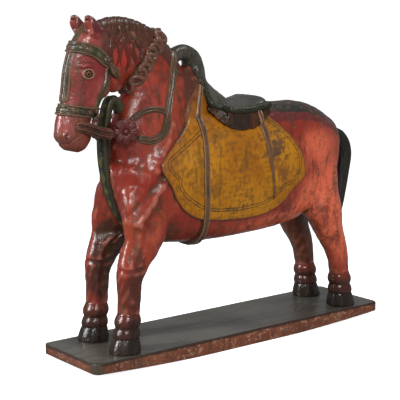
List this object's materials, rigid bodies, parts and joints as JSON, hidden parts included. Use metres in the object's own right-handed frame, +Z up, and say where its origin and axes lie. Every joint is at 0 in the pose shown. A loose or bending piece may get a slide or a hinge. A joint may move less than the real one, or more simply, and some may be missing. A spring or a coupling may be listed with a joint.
{
  "type": "carved wooden horse statue",
  "caption": "Carved and painted wooden horse with saddle, harness and saddle cloth, standing on a plank base, as a decorative figure for a floor, shelf or table.",
  "frame": {"origin": "middle of the flat land on the plank's underside", "axes": "+Z up, the horse faces -Y along the plank, its left side is +X"},
  "size_m": [0.2044, 0.8451, 0.7333],
  "materials": {
    "horse": "worn red lacquer over carved wood",
    "board": "dark worn satin paint"
  },
  "bodies": {
    "root": {"horse": "horse", "board": "board"}
  },
  "joints": []
}
